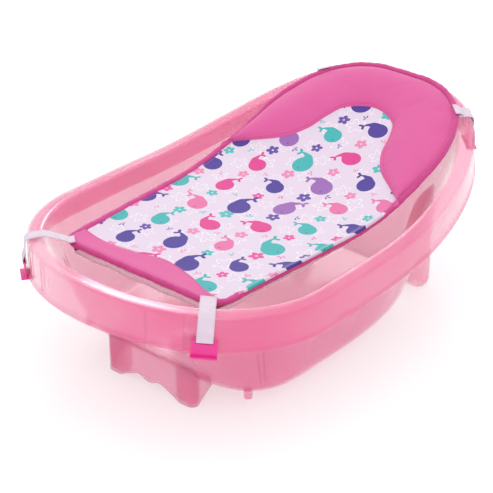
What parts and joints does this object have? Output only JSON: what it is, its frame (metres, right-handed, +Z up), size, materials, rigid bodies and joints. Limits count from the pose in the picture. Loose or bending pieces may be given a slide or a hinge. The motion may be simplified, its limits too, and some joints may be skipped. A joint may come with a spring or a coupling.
{
  "type": "baby bathtub",
  "caption": "Translucent moulded baby bathtub with raised head end, and a cloth newborn sling on a wire hoop hung over its rim by elastic straps and hooks.",
  "frame": {"origin": "floor, under the centre of the tub's outline", "axes": "+Z up; +X towards the raised head end; +Y towards the tub's left side seen from the foot end"},
  "size_m": [0.8003, 0.5434, 0.3255],
  "materials": {
    "tub_plastic": "translucent moulded, glossy",
    "plug_rubber": "soft moulded",
    "coated_wire": "plastic coated steel wire",
    "ferrule_steel": "crimped",
    "pink_binding": "knitted binding",
    "printed_cloth": "printed knitted polyester",
    "net_cloth": "open net",
    "pink_cloth": "knitted polyester",
    "elastic_webbing": "woven elastic",
    "clip_plastic": "moulded, glossy"
  },
  "bodies": {
    "tub": {"tub_shell": "tub_plastic", "sling_frame": "coated_wire", "frame_joiner": "ferrule_steel", "edge_binding": "pink_binding", "sling_fabric": "printed_cloth", "sling_underlay": "net_cloth", "foot_panel": "pink_cloth", "head_bolster": "pink_cloth", "strap_foot_front": "elastic_webbing", "strap_foot_back": "elastic_webbing", "strap_head_front": "elastic_webbing", "strap_head_back": "elastic_webbing"},
    "drain_plug": {"drain_plug": "plug_rubber"},
    "clip_foot_front": {"clip_foot_front": "clip_plastic"},
    "clip_foot_back": {"clip_foot_back": "clip_plastic"},
    "clip_head_front": {"clip_head_front": "clip_plastic"},
    "clip_head_back": {"clip_head_back": "clip_plastic"}
  },
  "joints": [
    {"name": "plug_pull", "type": "slide", "parent": "tub", "child": "drain_plug", "axis": [0, 0, 1], "range_m": [0, 0.04]},
    {"name": "clip_foot_front_hinge", "type": "hinge", "parent": "tub", "child": "clip_foot_front", "pos_m": [-0.34135, -0.18284, 0.1932], "axis": [-0.6238, 0.7771, 0.0835], "range_deg": [0, 75]},
    {"name": "clip_foot_back_hinge", "type": "hinge", "parent": "tub", "child": "clip_foot_back", "pos_m": [-0.34135, 0.18284, 0.1932], "axis": [0.6238, 0.7771, -0.0835], "range_deg": [0, 75]},
    {"name": "clip_head_front_hinge", "type": "hinge", "parent": "tub", "child": "clip_head_front", "pos_m": [0.36844, -0.14975, 0.25623], "axis": [-0.6101, -0.7508, -0.253], "range_deg": [0, 75]},
    {"name": "clip_head_back_hinge", "type": "hinge", "parent": "tub", "child": "clip_head_back", "pos_m": [0.36844, 0.14975, 0.25623], "axis": [0.6101, -0.7508, 0.253], "range_deg": [0, 75]}
  ]
}
